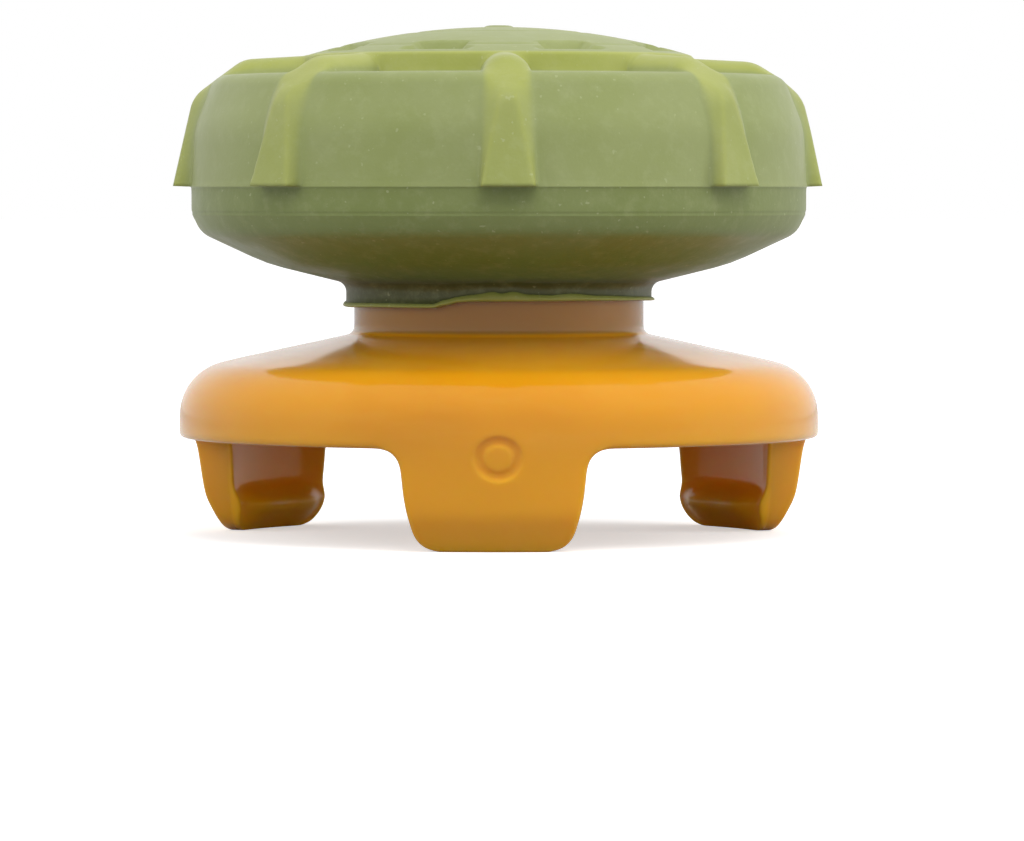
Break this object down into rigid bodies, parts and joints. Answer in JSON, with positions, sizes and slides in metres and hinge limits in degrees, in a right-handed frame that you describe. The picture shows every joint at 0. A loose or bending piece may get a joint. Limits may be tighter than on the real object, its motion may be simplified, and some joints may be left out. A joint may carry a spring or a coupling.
{
  "type": "controller thumb grip",
  "caption": "Clip-on riser for a game controller's thumbstick: a ribbed, domed rubber cap moulded onto a stepped plastic base with snap claws.",
  "frame": {"origin": "on the grip's axis, at the level of the claw tips that it stands on", "axes": "+Z along the axis from the claws to the domed cap, -Y from the axis through the claw with the round badge place"},
  "size_m": [0.0224, 0.0224, 0.0175],
  "materials": {
    "green_rubber": "satin moulded silicone rubber, moss green, slightly translucent in its thin ribs",
    "amber_plastic": "glossy moulded plastic, amber orange, slightly translucent"
  },
  "bodies": {
    "root": {"grip_cap": "green_rubber", "clip_base": "amber_plastic"}
  },
  "joints": []
}
